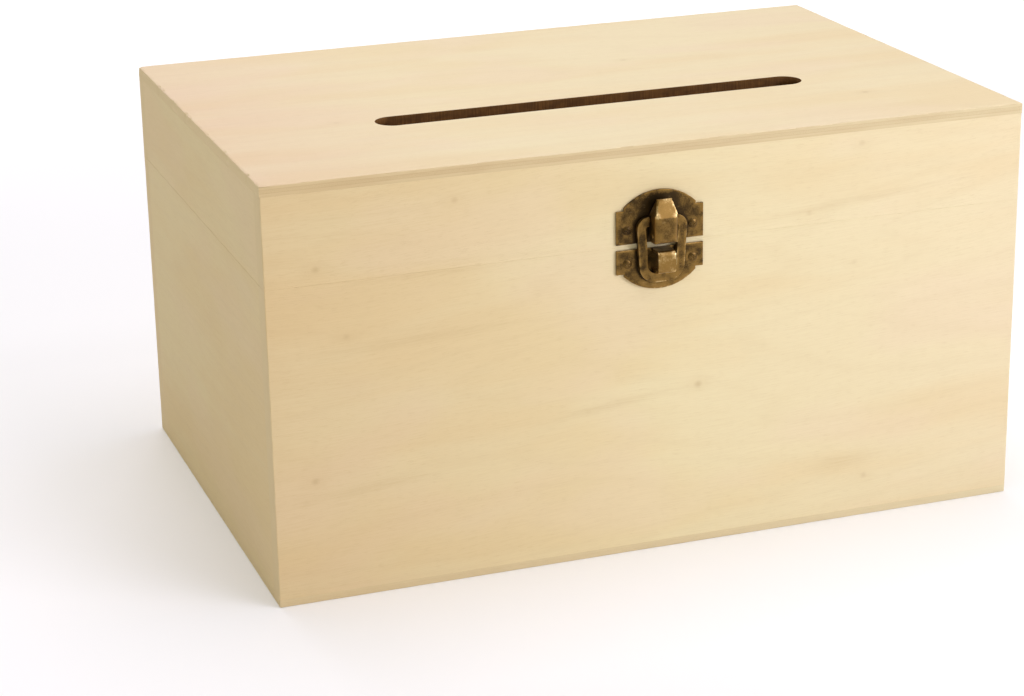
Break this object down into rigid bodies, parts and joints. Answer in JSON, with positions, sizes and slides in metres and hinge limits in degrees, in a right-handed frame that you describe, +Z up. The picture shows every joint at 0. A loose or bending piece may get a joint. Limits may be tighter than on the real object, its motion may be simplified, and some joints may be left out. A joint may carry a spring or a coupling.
{
  "type": "slot box",
  "caption": "Pale wooden box with a long round-ended card slot in its hinged lid, butt hinges behind and a draw latch in front.",
  "frame": {"origin": "centre of the underside", "axes": "+X to the right along the box's length, +Y from the latch in front to the hinges behind, +Z up"},
  "size_m": [0.3, 0.2127, 0.16],
  "materials": {
    "plain_wood": "bare, fine sanded",
    "aged_brass": "antiqued, worn bright on the edges",
    "dark_brass": "antiqued dark"
  },
  "bodies": {
    "box_base": {"bottom_panel": "plain_wood", "front_wall": "plain_wood", "back_wall": "plain_wood", "left_wall": "plain_wood", "right_wall": "plain_wood", "hinge_left_base_leaf": "aged_brass", "hinge_left_pin": "dark_brass", "hinge_left_base_screws": "dark_brass", "hinge_right_base_leaf": "aged_brass", "hinge_right_pin": "dark_brass", "hinge_right_base_screws": "dark_brass", "latch_lower_plate": "aged_brass", "latch_lower_screws": "dark_brass"},
    "box_lid": {"lid_top_panel": "plain_wood", "lid_front_rail": "plain_wood", "lid_back_rail": "plain_wood", "lid_left_rail": "plain_wood", "lid_right_rail": "plain_wood", "hinge_left_lid_leaf": "aged_brass", "hinge_left_lid_screws": "dark_brass", "hinge_right_lid_leaf": "aged_brass", "hinge_right_lid_screws": "dark_brass", "latch_upper_plate": "aged_brass", "latch_upper_screws": "dark_brass", "latch_lever_pin": "dark_brass"},
    "lever": {"latch_lever": "aged_brass"},
    "loop": {"latch_loop": "aged_brass"}
  },
  "joints": [
    {"name": "lid_hinge", "type": "hinge", "parent": "box_base", "child": "box_lid", "pos_m": [0, 0.1023, 0.122], "axis": [-1, 0, 0], "range_deg": [0, 180]},
    {"name": "lever_pivot", "type": "hinge", "parent": "box_lid", "child": "lever", "pos_m": [0, -0.1048, 0.1265], "axis": [1, 0, 0], "range_deg": [0, 105]},
    {"name": "loop_pivot", "type": "hinge", "parent": "lever", "child": "loop", "pos_m": [0, -0.1024, 0.1315], "axis": [1, 0, 0], "range_deg": [-105, 0]}
  ],
  "couplings": [
    {"joint": "loop_pivot", "follows": "lever_pivot", "ratio": -1}
  ]
}
